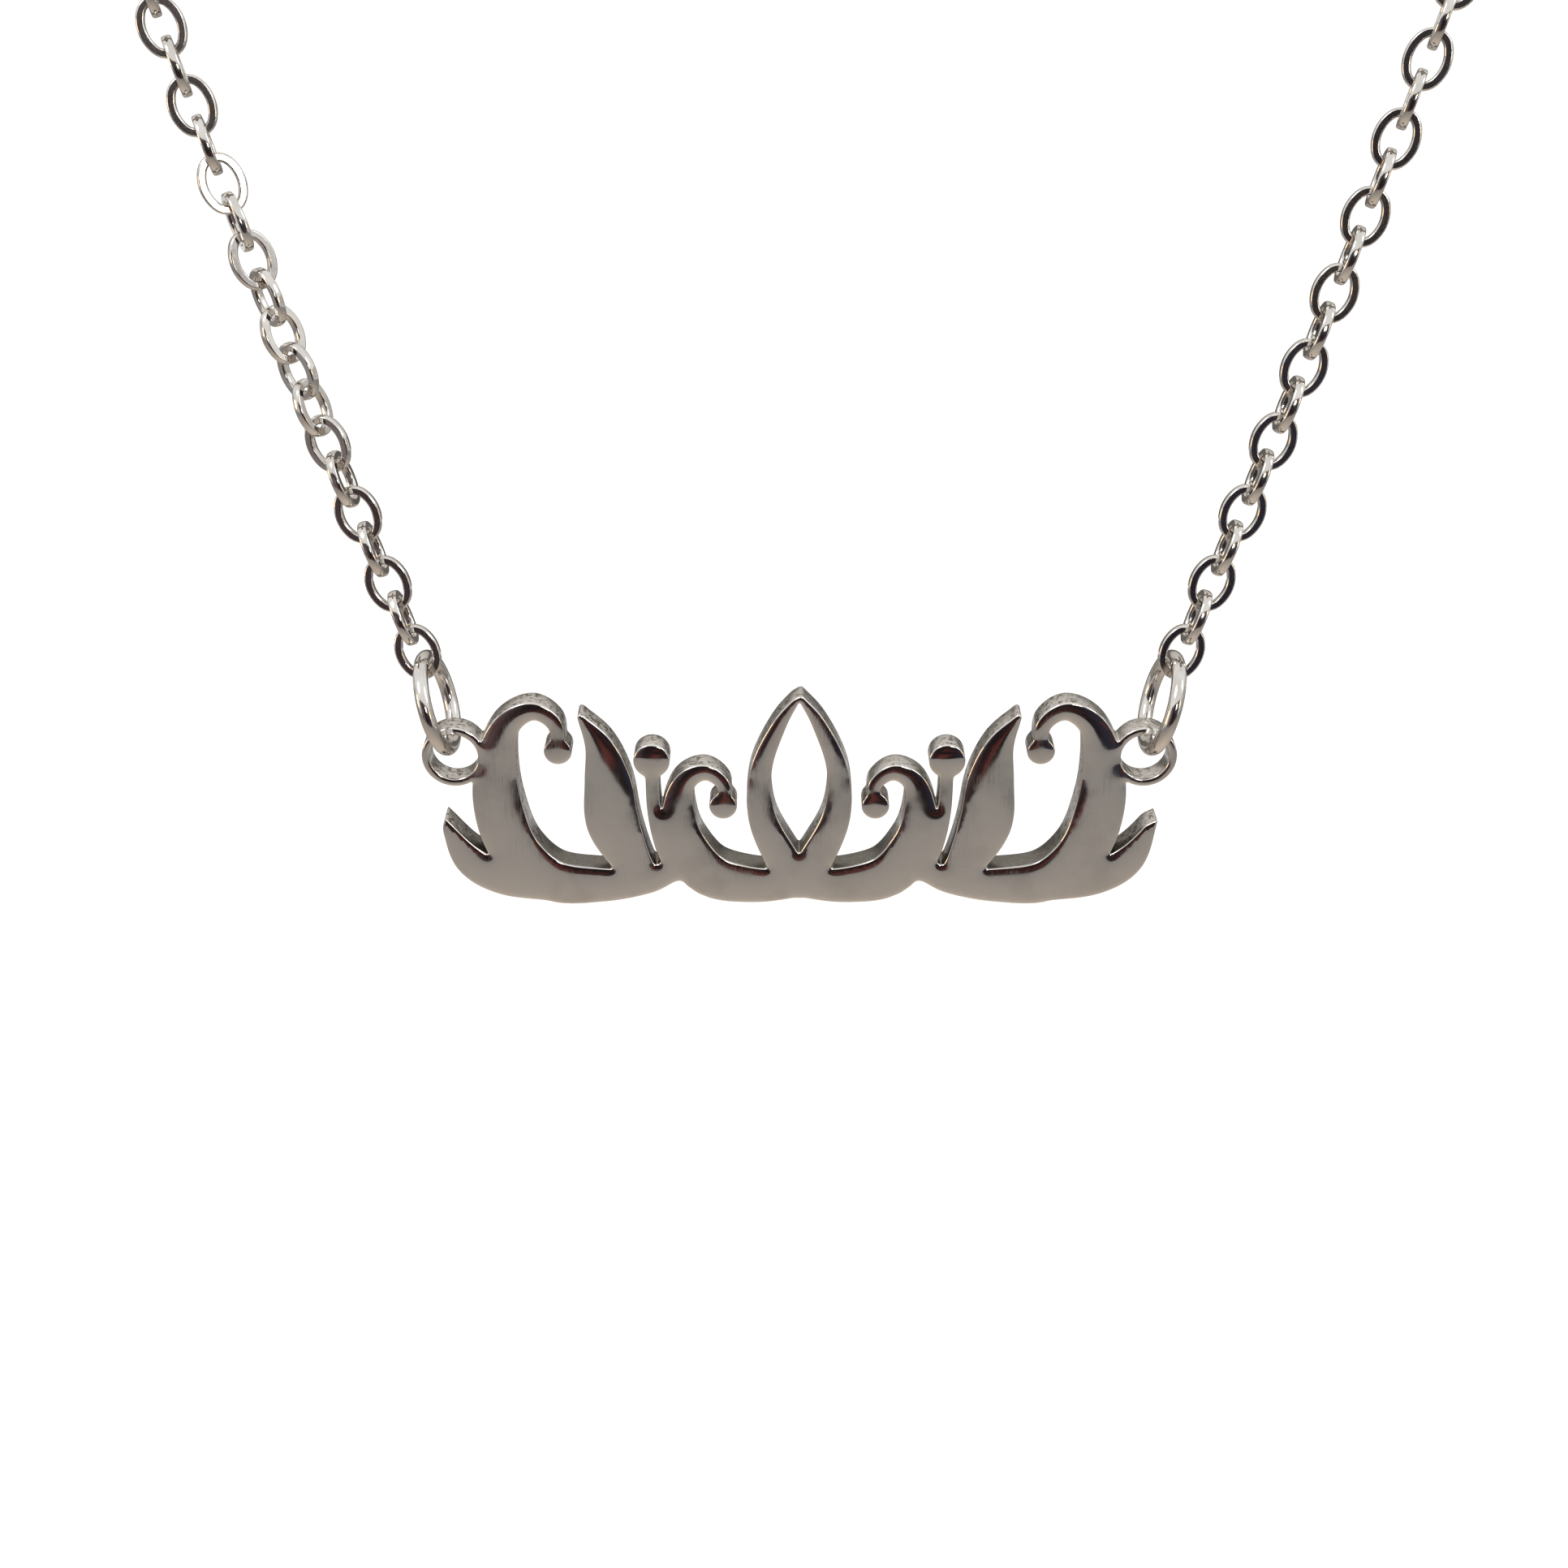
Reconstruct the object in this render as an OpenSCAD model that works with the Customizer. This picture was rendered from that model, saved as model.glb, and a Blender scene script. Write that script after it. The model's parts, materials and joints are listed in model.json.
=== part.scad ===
/* [Pendant plate] */
// Width of the plate, over its two loops
plate_w = 35; // [30:1:48]
// Height of the plate's scrollwork
plate_h = 10.7; // [9:0.1:14]
// Thickness of the sheet that the plate is cut from
plate_t = 1.5; // [1:0.1:1.8]
// Width of the boldest stroke of the scrollwork
bold_w = 2.4; // [1.8:0.1:2.6]
// Radius of the berry on each stamen
berry_r = 0.85; // [0.7:0.05:1]
// Radius of the knob that ends each scroll
knob_r = 0.65; // [0.45:0.05:0.75]
// Diameter of the hole in each loop
loop_hole = 2.25; // [2.1:0.05:3]
// Width of the metal round the hole
loop_wall = 0.36; // [0.3:0.02:0.6]

/* [Jump rings] */
// Outside diameter of a jump ring
ring_d = 5; // [4.8:0.1:7]
// Diameter of its wire
ring_wire = 0.7; // [0.5:0.05:0.75]
// How far each ring leans outwards, in degrees
ring_lean = 15; // [8:1:19]
// How far the near side of each ring is turned outwards, in degrees
ring_turn = 3; // [0:1:8]

/* [Chain] */
// Length of a link
link_l = 2.66; // [2.6:0.01:4]
// Width of a link
link_w = 2.05; // [2:0.05:2.6]
// Width of the wire in a link's flat face
link_wire = 0.35; // [0.33:0.01:0.4]
// Thickness of the flattened wire
link_t = 0.42; // [0.3:0.02:0.48]
// Radius of the inside curve at a link's ends
link_end_r = 0.55; // [0.5:0.01:0.58]
// Play left between metal parts that hang in each other
play = 0.1; // [0.1:0.01:0.16]
// Further play of the round rings, in which parts hang aslant
ring_play = 0.05; // [0.03:0.01:0.08]
// Most by which two neighbouring links are turned from square, in degrees
link_turn = 11; // [6:1:14]

/* [Clasp] */
// Length of the clasp
clasp_l = 10; // [9:0.5:14]
// Width of the clasp at its wide end
clasp_w = 4.6; // [4.2:0.1:5.6]
// Thickness of the clasp
clasp_t = 1.4; // [1:0.1:1.6]
// Diameter of the clasp's opening
clasp_hole = 2.6; // [2.4:0.1:3]
// Diameter of the eye at the clasp's narrow end
clasp_eye = 1.6; // [1.5:0.1:1.8]
// Width of the metal round the eye
clasp_wall = 0.6; // [0.5:0.05:0.8]
// Outside diameter of the small rings at the clasp
end_ring_d = 4; // [3.8:0.1:5]
// Diameter of their wire
end_ring_wire = 0.6; // [0.5:0.05:0.65]

/* [Hidden] */

LEFT = -1;
RIGHT = 1;

// Where the plate hangs, from the middle of the clasp: the middle of its foot
PLATE_FOOT = [0, -98, -122];

// The chain's way up from the right jump ring, round the side of the neck and back to the clasp
CHAIN_ROUTE = [
    [21, -96.7, -100], [24.5, -95.4, -90], [27.8, -94.1, -80], [31, -92.8, -70], [34.6, -91.1, -59],
    [40.8, -86, -43.5], [46.4, -77, -31.5], [50.6, -64, -21.5], [52.2, -49, -14], [50, -34, -8.5],
    [43.8, -20.5, -4.5], [34.5, -10.5, -2], [23.5, -3.8, -0.6], [13.5, -0.6, 0]
];
// The links face forwards near the plate, then turn a little towards each other's chain, in degrees, and
// back again, all between places along the chain
INWARD_TURN = 14;
INWARD_FROM = 14;
INWARD_TO = 27;
OUTWARD_FROM = 35;
// Where the links face forwards again and start to follow the neck
FACING_FRONT = 58;
// Stretch of the left chain in which it is twisted by a quarter turn, from and to
TWIST_FROM = 8;
TWIST_TO = 25;

// Each row of a stroke is a point of its middle line: how far out from the middle of the plate and how far
// up from the foot, as shares of the scrollwork's half width and height, and how bold it is there, as a
// share of the boldest stroke
OUT = 0;
UP = 1;
BOLD = 2;
ALMOND = [
    [0, 0.985, 0.1], [0.064, 0.85, 0.28], [0.122, 0.64, 0.42], [0.12, 0.42, 0.55], [0.06, 0.22, 0.68], [0, 0.09, 0.7]
];
CURL = [
    [0, 0.09, 0.65], [0.145, 0.078, 0.78], [0.29, 0.125, 0.93], [0.373, 0.28, 0.88], [0.389, 0.44, 0.66],
    [0.368, 0.575, 0.44], [0.302, 0.625, 0.33], [0.243, 0.565, 0.27], [0.245, 0.465, 0.27]
];
SCROLL = [
    CURL[2], [0.39, 0.155, 0.5], [0.495, 0.1, 0.58], [0.64, 0.078, 0.75], [0.807, 0.1, 0.92], [0.922, 0.25, 1],
    [0.97, 0.48, 0.96], [0.965, 0.7, 0.75], [0.927, 0.85, 0.52], [0.845, 0.915, 0.37], [0.775, 0.85, 0.3],
    [0.77, 0.725, 0.28]
];
STAMEN = [SCROLL[1], [0.437, 0.26, 0.34], [0.466, 0.44, 0.28], [0.472, 0.68, 0.26]];
LEAF = [
    SCROLL[2], [0.545, 0.2, 0.8], [0.6, 0.38, 1.05], [0.613, 0.58, 0.92], [0.638, 0.75, 0.56], [0.695, 0.89, 0.12]
];
TAIL = [SCROLL[4], [0.968, 0.115, 0.74], [1.075, 0.21, 0.62], [1.15, 0.405, 0.1]];
// The row of the scroll beside which the loop sits
LOOP_ROW = 7;
// Straight pieces between two rows of a stroke
STROKE_STEPS = 5;
// Least width of a stroke
FINEST = 0.18;

half_w = plate_w / 2;
loop_r = loop_hole / 2 + loop_wall;
loop_x = half_w - loop_r;
loop_z = SCROLL[LOOP_ROW][UP] * plate_h;
scroll_half = half_w - 2 * loop_r;

ring_r = (ring_d - ring_wire) / 2;
ring_way = [sin(ring_lean), 0, cos(ring_lean)];
// From a ring's middle to the loop's wall, which lies in the ring like a plank in a cup
ring_drop = sqrt(pow(ring_r - ring_wire / 2 - play - ring_play, 2) - pow(plate_t / 2, 2));
ring_mid = PLATE_FOOT + [loop_x, 0, loop_z] + (loop_hole / 2 + ring_drop) * ring_way;

link_in = link_l / 2 - link_wire;
// How far the inside of a link's end rises over the corner of the link that hangs in it
link_corner = link_t / 2 * (1 + sin(link_turn)) / cos(link_turn);
link_rise = link_end_r - sqrt(pow(link_end_r, 2) - pow(link_corner, 2));
link_space = 2 * link_rise + play;
link_pitch = 2 * link_in - link_space;
// From the inside of a ring to the chain's first place, half a space above its first link's inner end
hang = link_space / 2 - play - ring_play;

end_ring_r = (end_ring_d - end_ring_wire) / 2;
end_ring_drop = sqrt(pow(end_ring_r - end_ring_wire / 2 - play - ring_play, 2) - pow(clasp_t / 2, 2));
clasp_wide_x = clasp_l / 2 - clasp_w / 2;
clasp_eye_x = clasp_l / 2 - clasp_wall - clasp_eye / 2;
clasp_ring_x = clasp_eye_x + clasp_eye / 2 + end_ring_drop;
end_ring_x = clasp_wide_x + clasp_hole / 2 + end_ring_drop;

function unit(v) = v / norm(v);

// A smooth curve through rows of any length, from b to c
function curve(a, b, c, d, t) =
    0.5 * (2 * b + (c - a) * t + (2 * a - 5 * b + 4 * c - d) * t * t + (3 * b - a - 3 * c + d) * t * t * t);
function row_at(rows, i) =
    i < 0 ? 2 * rows[0] - rows[1] :
    i < len(rows) ? rows[i] : 2 * rows[len(rows) - 1] - rows[len(rows) - 2];
function smooth(rows, steps) = [
    for (i = [0 : len(rows) - 2], k = [0 : steps - 1])
        curve(row_at(rows, i - 1), rows[i], rows[i + 1], row_at(rows, i + 2), k / steps),
    rows[len(rows) - 1]
];

// The plate lies in the XY plane while it is made, with its thickness along Z
function place(row) = [row[OUT] * scroll_half, row[UP] * plate_h];
function across(p, i) =
    let (way = unit(p[min(i + 1, len(p) - 1)] - p[max(i - 1, 0)])) [-way.y, way.x];

module sheet() {
    linear_extrude(plate_t, center = true) children();
}

module disc(r, t = plate_t) {
    cylinder(r = r, h = t, center = true, $fn = 72);
}

// One stroke of the scrollwork, with round ends
module stroke(rows) {
    table = smooth(rows, STROKE_STEPS);
    last = len(table) - 1;
    p = [for (row = table) place(row)];
    w = [for (row = table) max(row[BOLD] * bold_w, FINEST)];
    sheet() polygon([
        for (i = [0 : last]) p[i] + w[i] / 2 * across(p, i),
        for (i = [last : -1 : 0]) p[i] - w[i] / 2 * across(p, i)
    ]);
    for (i = [0, last]) translate(p[i]) disc(w[i] / 2);
}

// The dot that ends a stroke
module end_dot(rows, r) {
    translate(place(rows[len(rows) - 1])) disc(r);
}

// The loop, with a neck that reaches into the scroll beside it
module corner_loop() {
    neck_x = place(SCROLL[LOOP_ROW]).x;
    translate([loop_x, loop_z]) disc(loop_r);
    sheet() translate([neck_x, loop_z - loop_r / 2]) square([loop_x - neck_x, loop_r]);
}

module scrollwork_half() {
    for (rows = [ALMOND, CURL, SCROLL, STAMEN, LEAF, TAIL]) stroke(rows);
    end_dot(CURL, knob_r);
    end_dot(SCROLL, knob_r);
    end_dot(STAMEN, berry_r);
    corner_loop();
}

module nameplate() {
    color("gainsboro") translate(PLATE_FOOT) rotate([90, 0, 0]) difference() {
        for (flip = [0, 1]) mirror([flip, 0, 0]) scrollwork_half();
        for (side = [LEFT, RIGHT]) translate([side * loop_x, loop_z, 0]) disc(loop_hole / 2, 2 * plate_t);
    }
}

module wire_ring(r, wire) {
    rotate_extrude($fn = 96) translate([r, 0]) circle(d = wire, $fn = 36);
}

// The ring stands in the plane of its lean and of the plate's thickness, turned a little about its lean
module jump_ring(side) {
    color("silver")
        translate([side * ring_mid.x, ring_mid.y, ring_mid.z]) rotate([0, side * ring_lean, 0])
            rotate([0, 0, side * ring_turn]) rotate([0, 90, 0]) wire_ring(ring_r, ring_wire);
}

// An oval of four arcs, with its length along Y: two at its ends and two longer ones along its sides
module oval(l, w, end_r) {
    reach = l / 2 - end_r;
    spare = w / 2 - end_r;
    // How far each side arc's middle lies beyond the other side, and where the arcs meet
    away = (reach * reach - spare * spare) / (2 * spare);
    side_r = w / 2 + away;
    meet = reach * side_r / (side_r - end_r);
    intersection() {
        translate([away, 0]) circle(r = side_r, $fn = 96);
        translate([-away, 0]) circle(r = side_r, $fn = 96);
        square([2 * w, 2 * meet], center = true);
    }
    for (s = [-1, 1]) translate([0, s * reach]) circle(r = end_r, $fn = 96);
}

// A link lies flat, with its length along Y
module link() {
    linear_extrude(link_t, center = true) difference() {
        oval(link_l, link_w, link_end_r + 0.8 * link_wire);
        oval(link_l - 2 * link_wire, link_w - 2 * link_wire, link_end_r);
    }
}

// The chain runs from the top of its jump ring to the small ring at the clasp
function side_way(side) = [side * sin(ring_lean), 0, cos(ring_lean)];
function chain_start(side) =
    [side * ring_mid.x, ring_mid.y, ring_mid.z] + (ring_r - ring_wire / 2 + hang) * side_way(side);
function chain_end(side) =
    [side * ((side == LEFT ? clasp_ring_x : end_ring_x) + end_ring_r - end_ring_wire / 2 + hang), 0, 0];
function chain_path(side) = smooth(concat(
    [chain_start(side)], [for (p = CHAIN_ROUTE) [side * p.x, p.y, p.z]], [chain_end(side)]
), 16);
function lengths_along(p) = [
    for (i = 0, run = 0; i < len(p); run = run + (i + 1 < len(p) ? norm(p[i + 1] - p[i]) : 0), i = i + 1) run
];
// The point at a length along a path, from one table for each direction
function tables_of(p) =
    let (run = lengths_along(p)) [for (k = [0 : 2]) [for (i = [0 : len(p) - 1]) [run[i], p[i][k]]]];
function point_at(tables, s) = [for (k = [0 : 2]) lookup(s, tables[k])];

// Which way a flat link would face at s: forwards near the plate, a little inwards above it, away from the
// neck further on, plus the quarter turn that every second link has, and the left chain's twist
function part_way(s, from, to) = min(max((s - from) / (to - from), 0), 1);
function faces(side, s, total, way, i) =
    let (
        round_neck = 180 * part_way(s, FACING_FRONT, total),
        inward = INWARD_TURN * (part_way(s, INWARD_FROM, INWARD_TO) - part_way(s, OUTWARD_FROM, FACING_FRONT)),
        turn = round_neck - inward,
        out = [side * sin(turn), -cos(turn), 0],
        face = unit(out - (out * way) * way),
        twist = side == LEFT ? 90 * part_way(s, TWIST_FROM, TWIST_TO) : 0,
        roll = 90 * (i % 2) - twist
    ) cos(roll) * face + sin(roll) * cross(way, face);

module chain(side) {
    path = chain_path(side);
    tables = tables_of(path);
    total = lengths_along(path)[len(path) - 1];
    // Both chains' end links face forwards and back, so the twisted chain has an even number of links
    odd = side == LEFT ? 0 : 1;
    links = odd + 2 * ceil((total / link_pitch - odd) / 2);
    step = total / links;
    for (i = [0 : links - 1]) {
        from = point_at(tables, i * step);
        to = point_at(tables, (i + 1) * step);
        mid = (from + to) / 2;
        way = unit(to - from);
        face = faces(side, (i + 0.5) * step, total, way, i);
        width = cross(way, face);
        multmatrix([
            [width.x, way.x, face.x, mid.x],
            [width.y, way.y, face.y, mid.y],
            [width.z, way.z, face.z, mid.z],
            [0, 0, 0, 1]
        ]) link();
    }
}

module clasp() {
    eye_r = clasp_eye / 2 + clasp_wall;
    wide_r = clasp_w / 2;
    gap = clasp_wide_x + clasp_eye_x;
    // Where the straight sides touch both round ends
    lean = acos((wide_r - eye_r) / gap);
    color("silver") rotate([90, 0, 0]) linear_extrude(clasp_t, center = true) difference() {
        union() {
            translate([clasp_wide_x, 0]) circle(r = wide_r, $fn = 96);
            translate([-clasp_eye_x, 0]) circle(r = eye_r, $fn = 96);
            polygon([
                for (s = [-1, 1]) [clasp_wide_x - wide_r * cos(lean), s * wide_r * sin(lean)],
                for (s = [1, -1]) [-clasp_eye_x - eye_r * cos(lean), s * eye_r * sin(lean)]
            ]);
        }
        translate([clasp_wide_x, 0]) circle(d = clasp_hole, $fn = 96);
        translate([-clasp_eye_x, 0]) circle(d = clasp_eye, $fn = 96);
    }
}

module small_ring(x) {
    color("silver") translate([x, 0, 0]) wire_ring(end_ring_r, end_ring_wire);
}

module jump_ring_left() { jump_ring(LEFT); }
module jump_ring_right() { jump_ring(RIGHT); }
module chain_left() { color("darkgray") chain(LEFT); }
module chain_right() { color("darkgray") chain(RIGHT); }
module clasp_ring() { small_ring(-clasp_ring_x); }
module end_ring() { small_ring(end_ring_x); }

nameplate();
jump_ring_left();
jump_ring_right();
chain_left();
chain_right();
clasp();
clasp_ring();
end_ring();
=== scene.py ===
"""The look of the necklace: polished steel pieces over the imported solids, a pale studio and the camera."""
import json
import math
from dataclasses import dataclass

import bmesh
import bpy
import numpy as np
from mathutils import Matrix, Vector
from mathutils.geometry import delaunay_2d_cdt


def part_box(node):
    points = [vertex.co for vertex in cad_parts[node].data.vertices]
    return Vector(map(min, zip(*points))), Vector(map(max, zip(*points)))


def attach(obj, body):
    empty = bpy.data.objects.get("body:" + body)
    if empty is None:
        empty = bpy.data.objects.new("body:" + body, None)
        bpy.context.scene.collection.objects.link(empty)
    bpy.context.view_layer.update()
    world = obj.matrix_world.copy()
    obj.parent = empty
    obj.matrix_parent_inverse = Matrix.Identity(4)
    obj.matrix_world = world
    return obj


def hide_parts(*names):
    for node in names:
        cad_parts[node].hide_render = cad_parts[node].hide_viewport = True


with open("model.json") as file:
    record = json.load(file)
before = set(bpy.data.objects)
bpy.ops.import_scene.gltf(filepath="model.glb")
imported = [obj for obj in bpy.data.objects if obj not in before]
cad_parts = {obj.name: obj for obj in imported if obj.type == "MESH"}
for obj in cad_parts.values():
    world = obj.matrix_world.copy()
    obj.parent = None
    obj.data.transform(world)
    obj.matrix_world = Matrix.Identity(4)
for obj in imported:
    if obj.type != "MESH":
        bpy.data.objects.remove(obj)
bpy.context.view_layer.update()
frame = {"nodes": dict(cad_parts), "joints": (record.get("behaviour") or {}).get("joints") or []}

# Lengths are in metres, and mm turns a length in millimetres into metres
mm = 0.001

# The image, and the camera's lens as a length in its pixels
IMAGE_SIDE = 1932
LENS_PX = 3090
SENSOR_WIDTH = 36
# How steeply the camera looks down, and how far it is from the plate's face
LOOK_DOWN = math.radians(25.6)
CAMERA_DISTANCE = 116 * mm
# The middle of the plate's face, level with its loops: below the hinge, and where the image shows it
LOOPS_BELOW_HINGE = 2.506 * mm
PLATE_SEEN_AT = (985, 935)

# The floor under the hanging necklace
FLOOR_Z = -300 * mm
FLOOR_RADIUS = 8


def unit(v):
    return v / np.linalg.norm(v, axis=-1, keepdims=True)


# Camera

def add_camera():
    """Looks at the plate as the photograph does."""
    hinge = Vector(frame["joints"][0]["pos_m"])
    face = Vector((0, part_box("nameplate")[0].y, hinge.z - LOOPS_BELOW_HINGE))
    look = Vector((0, math.cos(LOOK_DOWN), -math.sin(LOOK_DOWN)))
    up = Vector((0, math.sin(LOOK_DOWN), math.cos(LOOK_DOWN)))
    right = Vector((1, 0, 0))
    a_pixel = CAMERA_DISTANCE / LENS_PX
    aside = (PLATE_SEEN_AT[0] - IMAGE_SIDE / 2) * a_pixel
    above = (IMAGE_SIDE / 2 - PLATE_SEEN_AT[1]) * a_pixel
    data = bpy.data.cameras.new("camera")
    data.sensor_width = SENSOR_WIDTH
    data.lens = SENSOR_WIDTH * LENS_PX / IMAGE_SIDE
    data.clip_start = 5 * mm
    data.clip_end = 2 * FLOOR_RADIUS
    camera = bpy.data.objects.new("camera", data)
    camera.location = face - CAMERA_DISTANCE * look - aside * right - above * up
    camera.rotation_euler = (math.pi / 2 - LOOK_DOWN, 0, 0)
    bpy.context.scene.collection.objects.link(camera)
    bpy.context.scene.camera = camera


# Materials

class Shader:
    """A material whose nodes are added one by one, all in the object's own space in millimetres."""

    def __init__(self, name):
        self.material = bpy.data.materials.new(name)
        self.material.use_nodes = True
        self.tree = self.material.node_tree
        self.bsdf = self.tree.nodes["Principled BSDF"]
        place = self.tree.nodes.new("ShaderNodeTexCoord")
        to_mm = self.tree.nodes.new("ShaderNodeMapping")
        to_mm.inputs["Scale"].default_value = (1 / mm, 1 / mm, 1 / mm)
        self.link(place.outputs["Object"], to_mm.inputs["Vector"])
        self.place = to_mm.outputs["Vector"]

    def link(self, out, into):
        self.tree.links.new(out, into)

    def stretched(self, scale, turn=(0, 0, 0)):
        """The place, scaled along each axis, so that a texture on it runs in lines."""
        node = self.tree.nodes.new("ShaderNodeMapping")
        node.inputs["Scale"].default_value = scale
        node.inputs["Rotation"].default_value = turn
        self.link(self.place, node.inputs["Vector"])
        return node.outputs["Vector"]

    def noise(self, scale, detail=2, rough=0.5, distortion=0, place=None):
        node = self.tree.nodes.new("ShaderNodeTexNoise")
        node.inputs["Scale"].default_value = scale
        node.inputs["Detail"].default_value = detail
        node.inputs["Roughness"].default_value = rough
        node.inputs["Distortion"].default_value = distortion
        self.link(place or self.place, node.inputs["Vector"])
        return node.outputs["Fac"]

    def between(self, value, low, high, to_low, to_high):
        """Maps a value from one range to another, and holds it there."""
        node = self.tree.nodes.new("ShaderNodeMapRange")
        node.inputs["From Min"].default_value = low
        node.inputs["From Max"].default_value = high
        node.inputs["To Min"].default_value = to_low
        node.inputs["To Max"].default_value = to_high
        self.link(value, node.inputs["Value"])
        return node.outputs["Result"]

    def arithmetic(self, how, a, b):
        node = self.tree.nodes.new("ShaderNodeMath")
        node.operation = how
        self.link(a, node.inputs[0])
        self.link(b, node.inputs[1])
        return node.outputs[0]

    def plus(self, a, b):
        return self.arithmetic("ADD", a, b)

    def times(self, a, b):
        return self.arithmetic("MULTIPLY", a, b)

    def along(self, axis):
        """The place along X, Y or Z, in millimetres."""
        node = self.tree.nodes.new("ShaderNodeSeparateXYZ")
        self.link(self.place, node.inputs["Vector"])
        return node.outputs[axis]

    def blend(self, share, a, b):
        """Two colours, mixed by a share of the second."""
        node = self.tree.nodes.new("ShaderNodeMix")
        node.data_type = "RGBA"
        self.link(share, node.inputs["Factor"])
        self.link(a, node.inputs["A"])
        self.link(b, node.inputs["B"])
        return node.outputs["Result"]

    def tint(self, value, stops):
        """A colour ramp over a value, from (position, colour) pairs."""
        node = self.tree.nodes.new("ShaderNodeValToRGB")
        ramp = node.color_ramp
        while len(ramp.elements) < len(stops):
            ramp.elements.new(1)
        for element, (position, colour) in zip(ramp.elements, stops):
            element.position = position
            element.color = (*colour, 1)
        self.link(value, node.inputs["Fac"])
        return node.outputs["Color"]

    def bump(self, height, depth, below=None):
        """Raises the surface by depth where height is 1."""
        node = self.tree.nodes.new("ShaderNodeBump")
        node.inputs["Strength"].default_value = 1
        node.inputs["Distance"].default_value = depth
        self.link(height, node.inputs["Height"])
        if below:
            self.link(below, node.inputs["Normal"])
        return node.outputs["Normal"]

    def steel(self, colours, roughness, normal):
        self.bsdf.inputs["Metallic"].default_value = 1
        self.link(colours, self.bsdf.inputs["Base Color"])
        self.link(roughness, self.bsdf.inputs["Roughness"])
        self.link(normal, self.bsdf.inputs["Normal"])
        return self.material


# Stainless steel: polished, a little dull, cut, sooty from the cut, and in the low nooks of the cut darkened
# by painted shade and less polish
STEEL = (0.67, 0.645, 0.615)
DULL_STEEL = (0.57, 0.545, 0.515)
CUT_STEEL = (0.64, 0.62, 0.59)
SOOTY_STEEL = (0.17, 0.15, 0.12)
# Painted shade with some real dullness: the dark grey of the cut in the low nooks, where less light reaches
# and tumbling polishes less
SHADED_NOOK_STEEL = (0.21, 0.21, 0.205)
# Where the painted shade of the plate's low nooks ends and its clean, fully lit upper edges begin, as
# heights in the shader's millimetres
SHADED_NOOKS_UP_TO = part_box("nameplate")[0].z / mm + 2.6
UNSHADED_FROM = SHADED_NOOKS_UP_TO + 1.6


def scratches(shader, turn, finest):
    """Fine straight scratches, all in one direction, as a height of 0 to 1."""
    lines = shader.noise(1, 1, 0.4, 0, shader.stretched((finest, finest, 0.25), turn))
    return shader.between(lines, 0.62, 0.74, 0, 1)


def plate_face_steel():
    """Polished, with a slight wave, faint upright brushing and a few scratches."""
    s = Shader("plate_face_steel")
    cloud = s.noise(0.35, 3, 0.55)
    smudge = s.noise(0.5, 4, 0.6, 0.4)
    brush = s.noise(1, 3, 0.6, 0, s.stretched((22, 22, 0.5)))
    peel = s.noise(1.3, 1, 0.4)
    colours = s.tint(cloud, [(0.3, DULL_STEEL), (0.5, STEEL)])
    scored = s.plus(scratches(s, (0, 0.5, 0.3), 14), scratches(s, (0, -0.9, 0.2), 11))
    streaks = s.times(s.between(brush, 0.45, 0.7, 0, 0.13), s.between(smudge, 0.45, 0.6, 0, 1))
    rough = s.plus(s.between(smudge, 0.35, 0.75, 0.055, 0.1), streaks)
    normal = s.bump(peel, 1.3e-6)
    normal = s.bump(brush, 0.1e-6, normal)
    normal = s.bump(scored, 0.1e-6, normal)
    return s.steel(colours, rough, normal)


def plate_cut_steel():
    """The sheet's cut edge: fine lines through the thickness, with pits and soot left by the cut, and
    painted shade in its low nooks.
    """
    s = Shader("plate_cut_steel")
    lines = s.noise(1, 3, 0.65, 0, s.stretched((13, 0.7, 13)))
    pits = s.noise(4.5, 4, 0.7)
    patches = s.noise(0.8, 3, 0.6)
    soot = s.times(s.between(pits, 0.48, 0.62, 0, 1), s.between(patches, 0.4, 0.6, 0.3, 1))
    clean = s.tint(soot, [(0.05, CUT_STEEL), (0.6, SOOTY_STEEL)])
    # Painted shade: the cut darkens towards the bottom, in the low nooks, partly for the shade there and
    # partly for less polish
    shaded_nook = s.tint(pits, [(0.35, SHADED_NOOK_STEEL), (0.6, SOOTY_STEEL)])
    colours = s.blend(s.between(s.along("Z"), SHADED_NOOKS_UP_TO, UNSHADED_FROM, 0, 1), shaded_nook, clean)
    rough = s.between(patches, 0.3, 0.7, 0.24, 0.4)
    normal = s.bump(lines, 2e-6)
    normal = s.bump(pits, 2.5e-6, normal)
    return s.steel(colours, rough, normal)


def wire_steel(name, roughness, wave):
    """Drawn and tumbled wire: bright, with small dents and a fine grain."""
    s = Shader(name)
    cloud = s.noise(0.8, 3, 0.55)
    dents = s.noise(3.2, 2, 0.5)
    grain = s.noise(22, 3, 0.6)
    colours = s.tint(cloud, [(0.35, DULL_STEEL), (0.6, STEEL)])
    rough = s.between(grain, 0.3, 0.7, roughness, roughness + 0.1)
    normal = s.bump(dents, wave)
    normal = s.bump(grain, 0.15e-6, normal)
    return s.steel(colours, rough, normal)


# Meshes

def new_piece(name, points, faces, materials, face_materials=None):
    mesh = bpy.data.meshes.new(name)
    mesh.from_pydata([tuple(p) for p in points], [], [tuple(f) for f in faces])
    for material in materials:
        mesh.materials.append(material)
    if face_materials is not None:
        mesh.polygons.foreach_set("material_index", np.asarray(face_materials, np.int32))
    mesh.polygons.foreach_set("use_smooth", np.ones(len(mesh.polygons), bool))
    mesh.update()
    piece = bpy.data.objects.new(name, mesh)
    bpy.context.scene.collection.objects.link(piece)
    return piece


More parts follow.
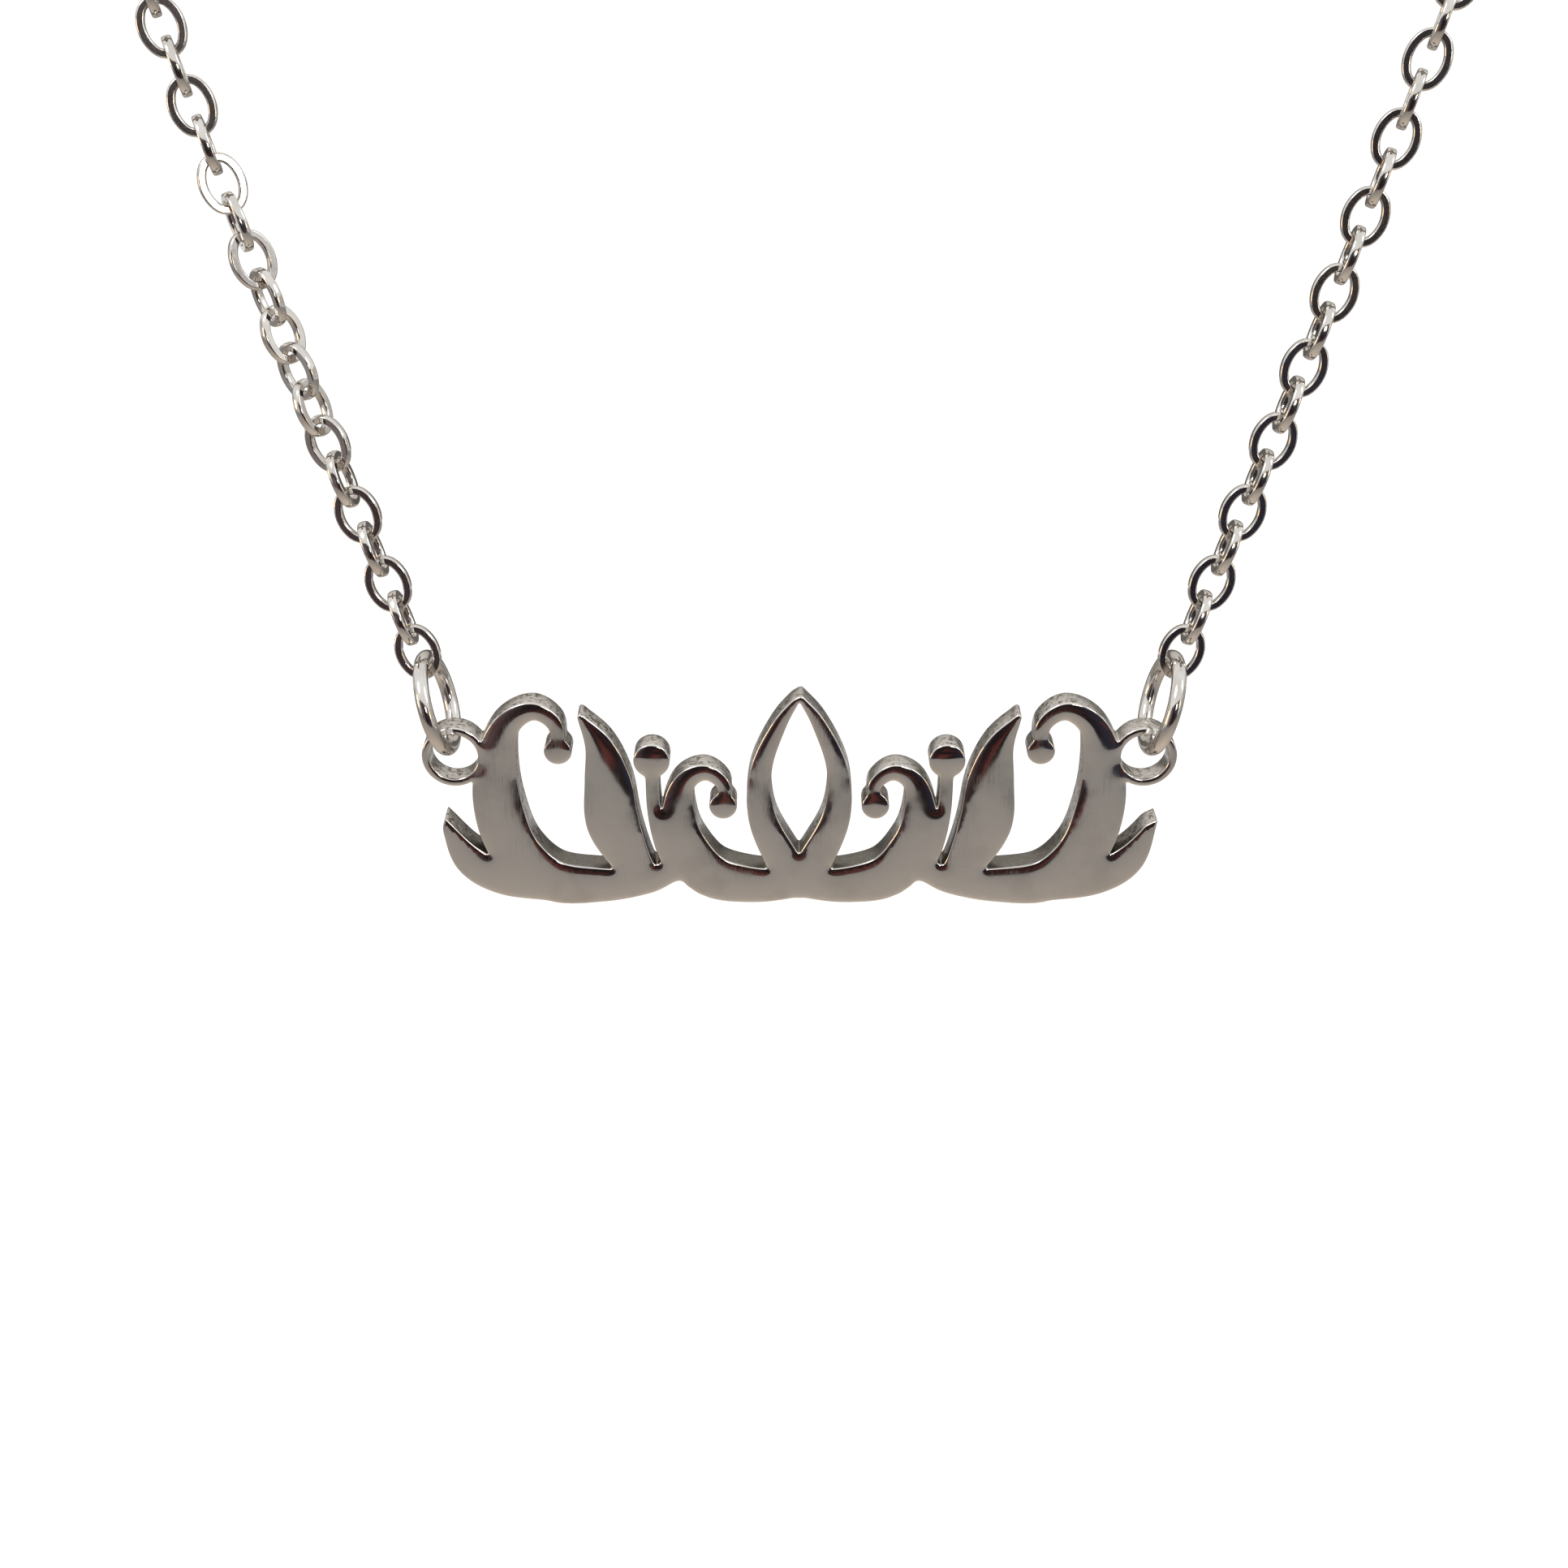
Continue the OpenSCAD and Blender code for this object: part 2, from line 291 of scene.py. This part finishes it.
def welded(node):
    """A CAD node's mesh as a bmesh, with the corners that its faces share made one."""
    bm = bmesh.new()
    bm.from_mesh(frame["nodes"][node].data)
    bmesh.ops.remove_doubles(bm, verts=bm.verts[:], dist=0.0002 * mm)
    bm.normal_update()
    bm.verts.index_update()
    bm.verts.ensure_lookup_table()
    return bm


def faces_front(face):
    return face.normal.y < -0.99


def front_outlines(node):
    """The closed outlines of a sheet's front face, as points (x, z), with the metal on their left."""
    bm = welded(node)
    front = [face for face in bm.faces if faces_front(face)]
    following = {}
    for face in front:
        for corner in face.loops:
            beyond = [f for f in corner.edge.link_faces if f is not face]
            if not any(faces_front(f) for f in beyond):
                following[corner.vert.index] = corner.link_loop_next.vert.index
    outlines = []
    while following:
        start, here = following.popitem()
        loop = [start]
        while here != start:
            loop.append(here)
            here = following.pop(here)
        outlines.append(np.array([(bm.verts[i].co.x, bm.verts[i].co.z) for i in loop]))
    bm.free()
    return outlines


def spread_evenly(loop, spacing):
    """Points at even distances along a closed line."""
    closed = np.vstack([loop, loop[:1]])
    run = np.concatenate([[0], np.cumsum(np.linalg.norm(np.diff(closed, axis=0), axis=1))])
    count = max(12, round(run[-1] / spacing))
    at = np.arange(count) * run[-1] / count
    return np.stack([np.interp(at, run, closed[:, k]) for k in (0, 1)], axis=1)


def curved_through(loop, spacing, corner):
    """A smooth line through a closed loop's points, which stays sharp where it turns more than corner."""
    gap = np.linalg.norm(loop - np.roll(loop, 1, axis=0), axis=1)
    loop = loop[gap > spacing / 2]
    way = unit(np.roll(loop, -1, axis=0) - loop)
    cosine = np.clip((way * np.roll(way, 1, axis=0)).sum(axis=1), -1, 1)
    sharp = np.arccos(cosine) > corner
    points = []
    for i in range(len(loop)):
        j = (i + 1) % len(loop)
        b, c = loop[i], loop[j]
        a = 2 * b - c if sharp[i] else loop[i - 1]
        d = 2 * c - b if sharp[j] else loop[(j + 1) % len(loop)]
        # Knots at the roots of the distances keep the curve free of loops
        t1 = np.linalg.norm(b - a) ** 0.5
        t2 = t1 + np.linalg.norm(c - b) ** 0.5
        t3 = t2 + np.linalg.norm(d - c) ** 0.5
        steps = max(1, math.ceil(np.linalg.norm(c - b) / spacing))
        for t in t1 + (t2 - t1) * np.arange(steps) / steps:
            ab = ((t1 - t) * a + t * b) / t1
            bc = ((t2 - t) * b + (t - t1) * c) / (t2 - t1)
            cd = ((t3 - t) * c + (t - t2) * d) / (t3 - t2)
            abc = ((t2 - t) * ab + t * bc) / t2
            bcd = ((t3 - t) * bc + (t - t1) * cd) / (t3 - t1)
            points.append(((t2 - t) * abc + (t - t1) * bcd) / (t2 - t1))
    return np.array(points)


def rounded_off(loop, reach, spacing):
    """Blurs a closed line a little, as tumbling rounds its corners."""
    width = max(1, round(3 * reach / spacing))
    offsets = np.arange(-width, width + 1)
    weights = np.exp(-0.5 * (offsets * spacing / reach) ** 2)
    weights /= weights.sum()
    return sum(w * np.roll(loop, k, axis=0) for k, w in zip(offsets, weights))


def inwards(loop):
    """At each point of a closed line, the way into the metal on its left."""
    way = unit(np.roll(loop, -1, axis=0) - np.roll(loop, 1, axis=0))
    return np.stack([-way[:, 1], way[:, 0]], axis=1)


# How many points are measured against an outline at once, so that the arrays stay small
AT_ONCE = 500


def to_outline(points, loops):
    """How far each point is from the outline, and whether it is inside."""
    a = np.vstack(loops)
    b = np.vstack([np.roll(loop, -1, axis=0) for loop in loops])
    along = b - a
    length = (along ** 2).sum(axis=1)
    away = np.empty(len(points))
    inside = np.empty(len(points), bool)
    for start in range(0, len(points), AT_ONCE):
        some = slice(start, start + AT_ONCE)
        p = points[some, None, :]
        t = np.clip(((p - a) * along).sum(axis=2) / length, 0, 1)
        away[some] = np.sqrt((((a + t[..., None] * along) - p) ** 2).sum(axis=2).min(axis=1))
        over = (a[:, 1] > p[..., 1]) != (b[:, 1] > p[..., 1])
        level = np.where(along[:, 1] == 0, 1, along[:, 1])
        cross_x = a[:, 0] + (p[..., 1] - a[:, 1]) / level * along[:, 0]
        inside[some] = (over & (p[..., 0] < cross_x)).sum(axis=1) % 2 == 1
    return away, inside


# Where a point in from the outline is nearer to it than this share of its inset, the rim's sides would
# cross, and the inset shrinks by a step, for some rounds
CROSSING = 0.93
INSET_STEP = 0.8
INSET_ROUNDS = 10


def rim_insets(loop, loops, rim):
    """How far in the rim reaches at each point: less at tips, where its sides would cross."""
    insets = np.full(len(loop), rim)
    for _ in range(INSET_ROUNDS):
        away, _ = to_outline(loop + insets[:, None] * inwards(loop), loops)
        insets[away < CROSSING * insets] *= INSET_STEP
    insets[insets < rim] *= INSET_STEP
    return insets


def inner_points(loops, spacing):
    """A grid of triangles' corners over the metal, a little in from the outline."""
    low = np.vstack(loops).min(axis=0)
    high = np.vstack(loops).max(axis=0)
    row = spacing * math.sqrt(3) / 2
    rows = int((high[1] - low[1]) / row) + 1
    columns = int((high[0] - low[0]) / spacing) + 2
    j, i = np.meshgrid(np.arange(rows), np.arange(columns), indexing="ij")
    x = low[0] + (i + 0.5 * (j % 2)) * spacing
    z = low[1] + j * row
    grid = np.stack([x.ravel(), z.ravel()], axis=1)
    away, inside = to_outline(grid, loops)
    return grid[inside & (away > 0.6 * spacing)]


CROWN_ROUNDS = 400
CROWN_TOLERANCE = 1e-12


def crown(points, triangles, on_edge, edge_height, reach):
    """How much of its full height a polished sheet has at each point, towards 1 further in from its edge.

    The height h solves h - reach^2 * (its curvature) = 1, by conjugate gradients.
    """
    a, b, c = (points[triangles[:, k]] for k in range(3))
    area = 0.5 * np.abs((b - a)[:, 0] * (c - a)[:, 1] - (b - a)[:, 1] * (c - a)[:, 0])
    # No sliver is so thin that its pull goes out of hand
    area = np.maximum(area, 1e-4 * area.mean())
    share = np.zeros(len(points))
    for k in range(3):
        share += np.bincount(triangles[:, k], area / 3, len(points))
    starts, ends, pull = [], [], []
    for k in range(3):
        p, q, r = (points[triangles[:, (k + m) % 3]] for m in range(3))
        starts.append(triangles[:, (k + 1) % 3])
        ends.append(triangles[:, (k + 2) % 3])
        pull.append(np.maximum(((q - p) * (r - p)).sum(axis=1) / (4 * area), 0))
    starts, ends, pull = np.concatenate(starts), np.concatenate(ends), reach ** 2 * np.concatenate(pull)
    free = ~on_edge

    def apply(h):
        flow = pull * (h[starts] - h[ends])
        out = np.bincount(starts, flow, len(h)) - np.bincount(ends, flow, len(h))
        return np.where(free, share * h + out, 0)

    scale = share + np.bincount(starts, pull, len(points)) + np.bincount(ends, pull, len(points))
    h = np.zeros(len(points))
    h[on_edge] = edge_height
    left = np.where(free, share, 0) - apply(h)
    step = left / scale
    fit = (left * step).sum()
    goal = CROWN_TOLERANCE * fit
    for _ in range(CROWN_ROUNDS):
        moved = apply(step)
        size = fit / (step * moved).sum()
        h += size * step
        left -= size * moved
        eased = left / scale
        better = (left * eased).sum()
        if better < goal:
            break
        step = eased + better / fit * step
        fit = better
    return h


@dataclass
class Finish:
    """How a sheet's edges are worn, and how finely its mesh is made."""

    # The round of the rims, and how deep each face drops from its crown to its edges
    rim: float
    front_crown: float
    back_crown: float
    # How much of the crown's height the low, sheltered edges keep, and how far in the drop reaches
    shelter: float
    reach: float
    # The spacing of points along the outline and over the faces, and how far the corners are blurred
    spacing: float
    grid: float
    blur: float


# An outline that turns by more than this has a true corner there
SHARP = math.radians(40)
RIM_STEPS = 3
WALL_STEPS = 2
# Up to where, above a sheet's foot, the wheel hardly reaches its edges, and from where it wears them fully
SHELTERED_UP_TO = 3.8 * mm
OPEN_FROM = 6.6 * mm


def worn_outlines(node, finish):
    """The outlines of a sheet's CAD node as even points, with smooth curves and slightly rounded corners."""
    fine = finish.spacing / 2
    loops = []
    for outline in front_outlines(node):
        line = spread_evenly(curved_through(outline, fine, SHARP), fine)
        loops.append(spread_evenly(rounded_off(line, finish.blur, fine), finish.spacing))
    return loops


def next_along(loops):
    """The number of the next point of its loop, for each point of the loops, all numbered in one row."""
    numbers = []
    for loop in loops:
        first = len(numbers)
        numbers += [first + (i + 1) % len(loop) for i in range(len(loop))]
    return np.array(numbers)


def filled(loops, grid):
    """Triangles over the metal inside the loops, which use their points and the grid's.

    Gives the points, the triangles, and the place of each loop's points among the points.
    """
    edges = [(i, int(j)) for i, j in enumerate(next_along(loops))]
    # The triangulation works in millimetres, where its tolerance is small
    found, _, triangles, sources, _, _ = delaunay_2d_cdt(
        [Vector(p / mm) for p in np.vstack([*loops, grid])], edges, [], 0, 1e-6, True)
    points = np.array([tuple(p) for p in found]) * mm
    triangles = np.array(triangles)
    _, inside = to_outline(points[triangles].mean(axis=1), loops)
    source = np.array([s[0] if s else -1 for s in sources])
    from_loops = np.nonzero((source >= 0) & (source < len(edges)))[0]
    loop_at = np.empty(len(edges), int)
    loop_at[source[from_loops]] = from_loops
    return points, triangles[inside], loop_at


def sheet_piece(name, node, finish, face_material, cut_material):
    """A pierced sheet across Y, with crowned faces and rounded rims, from its CAD node's outlines."""
    low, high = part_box(node)
    loops = worn_outlines(node, finish)
    insets = [rim_insets(loop, loops, finish.rim) for loop in loops]
    inner_loops = [loop + inset[:, None] * inwards(loop) for loop, inset in zip(loops, insets)]
    flat, triangles, inner_at = filled(inner_loops, inner_points(inner_loops, finish.grid))
    on_edge = np.zeros(len(flat), bool)
    on_edge[inner_at] = True
    kept = np.interp(flat[on_edge, 1] - low.z, (SHELTERED_UP_TO, OPEN_FROM), (finish.shelter, 0))
    height = crown(flat, triangles, on_edge, kept, finish.reach)

    front = low.y + finish.front_crown * (1 - height)
    back = high.y - finish.back_crown * (1 - height)
    points = [np.stack([flat[:, 0], y, flat[:, 1]], axis=1) for y in (front, back)]
    faces = [*triangles, *(triangles[:, ::-1] + len(flat))]
    kinds = [0] * len(faces)
    # Rows of points from the front face's edge over its rim, down the cut wall and over the back rim: each
    # row's share of the inset, and how far back it lies
    rim_turn = np.arange(1, RIM_STEPS + 1) / RIM_STEPS * math.pi / 2
    front_wall = front[inner_at] + finish.rim
    back_wall = back[inner_at] - finish.rim
    rows = [(1 - math.sin(a), front_wall - finish.rim * math.cos(a)) for a in rim_turn]
    rows += [(0, front_wall + (back_wall - front_wall) * k / WALL_STEPS) for k in range(1, WALL_STEPS)]
    rows += [(1 - math.sin(a), back_wall + finish.rim * math.cos(a)) for a in rim_turn[::-1]]
    outline = np.vstack(loops)
    inward = np.concatenate(insets)[:, None] * np.vstack([inwards(loop) for loop in loops])
    base = 2 * len(flat)
    row_at = [inner_at]
    for share, y in rows:
        place = outline + share * inward
        points.append(np.stack([place[:, 0], y, place[:, 1]], axis=1))
        row_at.append(base + np.arange(len(outline)))
        base += len(outline)
    row_at.append(inner_at + len(flat))
    following = next_along(loops)
    for k in range(len(row_at) - 1):
        near, far = row_at[k], row_at[k + 1]
        strip = np.stack([near[following], near, far, far[following]], axis=1)
        faces += list(strip)
        kinds += [1 if RIM_STEPS <= k < len(row_at) - 1 - RIM_STEPS else 0] * len(strip)
    return new_piece(name, np.vstack(points), faces, [face_material, cut_material], kinds)


def swept(centres, outwards, sides, profile):
    """Sweeps a closed profile round a closed line: (out, side) points at each centre."""
    out, side = profile[None, :, :1], profile[None, :, 1:]
    points = centres[:, None] + out * outwards[:, None] + side * sides[:, None]
    rows, columns = len(centres), len(profile)
    i, j = np.meshgrid(np.arange(rows), np.arange(columns), indexing="ij")
    at = i * columns + j
    next_row = (i + 1) % rows * columns + j
    next_column = i * columns + (j + 1) % columns
    both = (i + 1) % rows * columns + (j + 1) % columns
    return points.reshape(-1, 3), np.stack([at, next_row, both, next_column], axis=-1).reshape(-1, 4)


# Links

# The width of a link's flattened wire in the CAD solid, and what it gains here towards the link's hole,
# where the real links touch
LINK_WIRE = 0.35 * mm
LINK_GAIN = 0.04 * mm
# The radius inside the link's ends
LINK_INNER_END = 0.52 * mm
# How far the wire is rounded off its flat faces, and off its rounder edges
FACE_ROUND = 0.08 * mm
EDGE_ROUND = 0.15 * mm
# How far inside its corners the profile has a further point on each flat face
FACE_MARGIN = 0.015 * mm
LINK_END_STEPS = 9
LINK_SIDE_STEPS = 9
CORNER_STEPS = 3


def flat_wire_profile(width, thickness):
    """A rectangle with oval corners, as (out, side) points."""
    points = []
    for quarter, (right, up) in enumerate(((1, 1), (-1, 1), (-1, -1), (1, -1))):
        x = right * (width / 2 - FACE_ROUND)
        y = up * (thickness / 2 - EDGE_ROUND)
        corner = []
        for k in range(CORNER_STEPS + 1):
            a = (quarter + k / CORNER_STEPS) * math.pi / 2
            corner.append((x + FACE_ROUND * math.cos(a), y + EDGE_ROUND * math.sin(a)))
        # The further point keeps the smooth shading of the corner off the face
        on_face = (x - right * FACE_MARGIN, up * thickness / 2)
        points += [on_face, *corner] if quarter % 2 else [*corner, on_face]
    return np.array(points)


def oval_line(length, width, end_radius):
    """The middle line of an oval link of four arcs, in its own plane, and the ways out from its points."""
    reach = length / 2 - end_radius
    spare = width / 2 - end_radius
    away = (reach * reach - spare * spare) / (2 * spare)
    side_radius = width / 2 + away
    meet = math.atan2(reach, away)
    turns, middles, radii = [], [], []
    for half in (0, 1):
        for centre, radius, start, end, steps in (
            ((-away, 0), side_radius, -meet, meet, LINK_SIDE_STEPS),
            ((0, reach), end_radius, meet, math.pi - meet, LINK_END_STEPS),
        ):
            for k in range(steps):
                turns.append(start + (end - start) * k / steps + half * math.pi)
                middles.append(np.array(centre) * (1 if half == 0 else -1))
                radii.append(radius)
    out = np.stack([np.cos(turns), np.sin(turns)], axis=1)
    return np.array(middles) + np.array(radii)[:, None] * out, out


def parts_of(bm):
    """The corners' places in each connected part of a mesh, always in the same order."""
    seen = set()
    for start in bm.verts:
        if start in seen:
            continue
        seen.add(start)
        places, reach = [], [start]
        while reach:
            vert = reach.pop()
            places.append(vert.co.copy())
            for edge in vert.link_edges:
                other = edge.other_vert(vert)
                if other not in seen:
                    seen.add(other)
                    reach.append(other)
        yield np.array(places)


def links_of(node):
    """Where each link of a CAD chain lies: its middle, and its length, width and depth as axes and sizes."""
    bm = welded(node)
    links = []
    for co in parts_of(bm):
        middle = (co.min(axis=0) + co.max(axis=0)) / 2
        _, _, axes = np.linalg.svd(co - co.mean(axis=0), full_matrices=False)
        spans = (co - middle) @ axes.T
        middle = middle + ((spans.min(axis=0) + spans.max(axis=0)) / 2) @ axes
        links.append((middle, axes, np.ptp(spans, axis=0)))
    bm.free()
    return sorted(links, key=lambda link: tuple(np.round(link[0], 7)))


def chain_piece(name, node, material):
    """All links of a chain as one mesh, each of flattened wire with round edges."""
    points, faces = [], []
    count = 0
    for middle, (along, across, through), (length, width, thickness) in links_of(node):
        wide = LINK_WIRE + LINK_GAIN
        line, out = oval_line(length - wide, width - wide, LINK_INNER_END + wide / 2)
        profile = flat_wire_profile(wide, thickness)
        normal = np.cross(across, along)
        centres = middle + line[:, :1] * across + line[:, 1:] * along
        outwards = out[:, :1] * across + out[:, 1:] * along
        sides = np.repeat(normal[None], len(line), axis=0)
        link_points, link_faces = swept(centres, outwards, sides, profile)
        points.append(link_points)
        faces.append(link_faces + count)
        count += len(link_points)
    return new_piece(name, np.vstack(points), np.vstack(faces), [material])


# Rings

RING_STEPS = 128
WIRE_STEPS = 28
# The hairline gap where a ring is bent shut, and how the wire narrows at the cut and one step from it
RING_GAP = 0.03 * mm
CUT_SIZE = 0.86
NEAR_CUT_SIZE = 0.985


def ring_piece(name, node, material, wire, seam):
    """A ring of round wire, round the middle of its CAD node.

    The fine gap where it was bent shut lies at the angle seam from the ring's first axis.
    """
    bm = welded(node)
    co = np.array([v.co for v in bm.verts])
    bm.free()
    middle = (co.min(axis=0) + co.max(axis=0)) / 2
    _, _, axes = np.linalg.svd(co - middle, full_matrices=False)
    axis = axes[2] * (1 if axes[2] @ np.array([1, 1, 1]) > 0 else -1)
    radius = np.linalg.norm((co - middle) @ axes[:2].T, axis=1).max() - wire / 2
    helper = np.array([0, 1.0, 0]) if abs(axis[1]) < 0.9 else np.array([1.0, 0, 0])
    first = unit(np.cross(axis, helper))
    second = np.cross(axis, first)
    half_gap = RING_GAP / 2 / radius
    turn = seam + np.linspace(half_gap, 2 * math.pi - half_gap, RING_STEPS + 1)
    out = np.cos(turn)[:, None] * first + np.sin(turn)[:, None] * second
    around = np.arange(WIRE_STEPS) / WIRE_STEPS * 2 * math.pi
    size = np.ones(len(turn))
    size[[0, -1]] = CUT_SIZE
    size[[1, -2]] = NEAR_CUT_SIZE
    points = []
    for k in range(len(turn)):
        centre = middle + radius * out[k]
        away = np.cos(around)[:, None] * out[k] + np.sin(around)[:, None] * axis
        points.append(centre + wire / 2 * size[k] * away)
    points = np.vstack(points)
    faces = []
    for k in range(RING_STEPS):
        here, there = k * WIRE_STEPS, (k + 1) * WIRE_STEPS
        for j in range(WIRE_STEPS):
            i = (j + 1) % WIRE_STEPS
            faces.append((here + j, there + j, there + i, here + i))
    faces.append(tuple(range(WIRE_STEPS)))
    faces.append(tuple(RING_STEPS * WIRE_STEPS + j for j in range(WIRE_STEPS))[::-1])
    return new_piece(name, points, faces, [material])


# The studio

FLOOR_GREY = (0.93, 0.93, 0.93)
# How far the grey table reaches from under the necklace
TABLE_REACH = 0.48


def stage_card(name, centre, size, turn, paint, seen=False):
    """A flat card of the studio, in one colour or painted by a function.

    The camera sees only the floor. The other cards show in the metal.
    """
    sx, sy = size[0] / 2, size[1] / 2
    card = new_piece(name, [(-sx, -sy, 0), (sx, -sy, 0), (sx, sy, 0), (-sx, sy, 0)], [(0, 1, 2, 3)], [])
    card.location = centre
    card.rotation_euler = turn
    s = Shader(name)
    s.bsdf.inputs["Roughness"].default_value = 0.9
    s.bsdf.inputs["Specular IOR Level"].default_value = 0.1
    if callable(paint):
        s.link(paint(s), s.bsdf.inputs["Base Color"])
    else:
        s.bsdf.inputs["Base Color"].default_value = (*paint, 1)
    card.data.materials.append(s.material)
    if not seen:
        card.visible_camera = card.visible_diffuse = card.visible_shadow = False


def table_paint(s):
    """Light and warm under the necklace, and greyer further off."""
    reach = s.tree.nodes.new("ShaderNodeVectorMath")
    reach.operation = "LENGTH"
    s.link(s.place, reach.inputs[0])
    share = s.between(reach.outputs["Value"], 0, TABLE_REACH / mm, 0, 1)
    return s.tint(share, [
        (0.1, (0.55, 0.49, 0.425)), (0.55, (0.33, 0.302, 0.275)), (1, (0.245, 0.238, 0.234))])


def dark_paint(s):
    """Near-black: red-brown streaks low down, purplish above, bluish on the right, greyer on the left."""
    across = s.between(s.along("X"), -300, 300, 0, 1)
    black = s.tint(across, [
        (0.1, (0.15, 0.125, 0.13)), (0.28, (0.05, 0.036, 0.042)), (0.36, (0.014, 0.01, 0.011)),
        (0.66, (0.014, 0.01, 0.011)), (0.74, (0.02, 0.019, 0.034)), (1, (0.03, 0.034, 0.045))])
    purple = s.tint(across, [
        (0.2, (0.06, 0.054, 0.066)), (0.5, (0.03, 0.025, 0.033)), (0.65, (0.11, 0.085, 0.1))])
    dark = s.blend(s.between(s.along("Y"), 40, 110, 0, 1), black, purple)
    streaks = s.noise(0.011, 1, 0.5, 0.6, s.stretched((0.6, 1.6, 1)))
    red = s.tint(streaks, [
        (0.5, (0.03, 0.015, 0.015)), (0.6, (0.1, 0.024, 0.022)), (0.7, (0.07, 0.04, 0.032))])
    low = s.between(s.along("Y"), -190, -30, 1, 0)
    return s.blend(s.times(low, s.between(streaks, 0.51, 0.58, 0, 1)), dark, red)


def back_paint(s):
    """Dark low down, for the back of the plate, and pale grey above, for its upper edges."""
    height = s.between(s.along("Y"), -375, 375, 0, 1)
    return s.tint(height, [(0, (0.16, 0.15, 0.14)), (0.3, (0.1, 0.095, 0.09)), (0.42, (0.5, 0.48, 0.455)),
                           (0.75, (0.62, 0.6, 0.58)), (1, (0.8, 0.79, 0.78))])


def side_paint(s):
    return s.tint(s.noise(0.006), [(0.35, (0.42, 0.4, 0.38)), (0.65, (0.6, 0.58, 0.56))])


def area_light(name, place, target, size, power, colour):
    """A soft light that faces its target: size in metres, power in watts."""
    data = bpy.data.lights.new(name, "AREA")
    data.shape = "RECTANGLE"
    data.size, data.size_y = size
    data.energy = power
    data.color = colour
    light = bpy.data.objects.new(name, data)
    light.location = place
    light.visible_camera = False
    light.rotation_euler = (Vector(target) - Vector(place)).to_track_quat("-Z", "Y").to_euler()
    bpy.context.scene.collection.objects.link(light)


def add_studio():
    world = bpy.data.worlds.new("studio")
    bpy.context.scene.world = world
    world.use_nodes = True
    world.node_tree.nodes["Background"].inputs["Color"].default_value = (1, 0.995, 0.985, 1)
    world.node_tree.nodes["Background"].inputs["Strength"].default_value = 1.1

    stage_card("floor", (0, 0, FLOOR_Z), (2 * FLOOR_RADIUS, 2 * FLOOR_RADIUS), (0, 0, 0), FLOOR_GREY, True)
    stage_card("table", (0, -0.1, FLOOR_Z + 0.002), (1.6, 2 * TABLE_REACH), (0, 0, 0), table_paint)
    stage_card("dark_front", (0, -0.556, FLOOR_Z + 0.215), (1.1, 0.43), (math.pi / 2, 0, 0), dark_paint)
    stage_card("grey_back", (0, 0.45, FLOOR_Z + 0.375), (1.3, 0.75), (math.pi / 2, 0, 0), back_paint)
    for side in (-1, 1):
        centre = (side * 0.9, -0.05, FLOOR_Z + 0.2)
        stage_card("grey_side", centre, (1.1, 0.4), (math.pi / 2, 0, math.pi / 2), side_paint)
    plate = (0, -0.098, -0.115)
    left_chain = (-0.025, -0.095, -0.089)
    area_light("key", (-0.5, -0.5, 0.6), plate, (0.3, 0.3), 2.2, (1, 0.98, 0.95))
    area_light("fill", (0.7, -0.3, 0.4), plate, (0.22, 0.3), 0.9, (0.95, 0.97, 1))
    area_light("lamp", (0.127, -0.485, 0.009), left_chain, (0.075, 0.075), 0.16, (1, 0.98, 0.88))
    area_light("warm_left", (-0.46, -0.2, -0.1), plate, (0.1, 0.14), 0.32, (1, 0.56, 0.24))
    area_light("warm_right", (0.4, -0.35, -0.06), plate, (0.05, 0.08), 0.08, (1, 0.66, 0.28))


# The whole

PLATE_FINISH = Finish(rim=0.085 * mm, front_crown=0.15 * mm, back_crown=0.06 * mm, shelter=0.6,
                      reach=0.55 * mm, spacing=0.08 * mm, grid=0.13 * mm, blur=0.1 * mm)
CLASP_FINISH = Finish(rim=0.27 * mm, front_crown=0.08 * mm, back_crown=0.08 * mm, shelter=0,
                      reach=0.5 * mm, spacing=0.1 * mm, grid=0.2 * mm, blur=0.04 * mm)
# The rings' wire, and where their seams lie
JUMP_WIRE = 0.7 * mm
END_WIRE = 0.6 * mm
JUMP_SEAM = math.radians(200)
END_SEAM = math.radians(70)


def add_necklace():
    ring_metal = wire_steel("ring_polish", 0.06, 1.2e-6)
    chain_metal = wire_steel("chain_polish", 0.07, 1.4e-6)
    clasp_metal = wire_steel("clasp_polish", 0.1, 1e-6)
    face_metal = plate_face_steel()
    cut_metal = plate_cut_steel()
    plate = sheet_piece("scrollwork_plate", "nameplate", PLATE_FINISH, face_metal, cut_metal)
    clasp = sheet_piece("nape_clasp", "clasp", CLASP_FINISH, clasp_metal, clasp_metal)
    made = [(plate, "plate", "nameplate", "plate_steel"), (clasp, "necklace", "clasp", "clasp_steel")]
    for side in ("left", "right"):
        chain = chain_piece("cable_chain_" + side, "chain_" + side, chain_metal)
        ring = ring_piece("bent_ring_" + side, "jump_ring_" + side, ring_metal, JUMP_WIRE, JUMP_SEAM)
        made.append((chain, "necklace", "chain_" + side, "chain_steel"))
        made.append((ring, "necklace", "jump_ring_" + side, "ring_steel"))
    for node in ("clasp_ring", "end_ring"):
        ring = ring_piece("bent_" + node, node, ring_metal, END_WIRE, END_SEAM)
        made.append((ring, "necklace", node, "ring_steel"))
    for piece, body, node, slot in made:
        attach(piece, body)
        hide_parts(node)


add_camera()
add_studio()
add_necklace()
bpy.context.scene.view_settings.view_transform = "Standard"
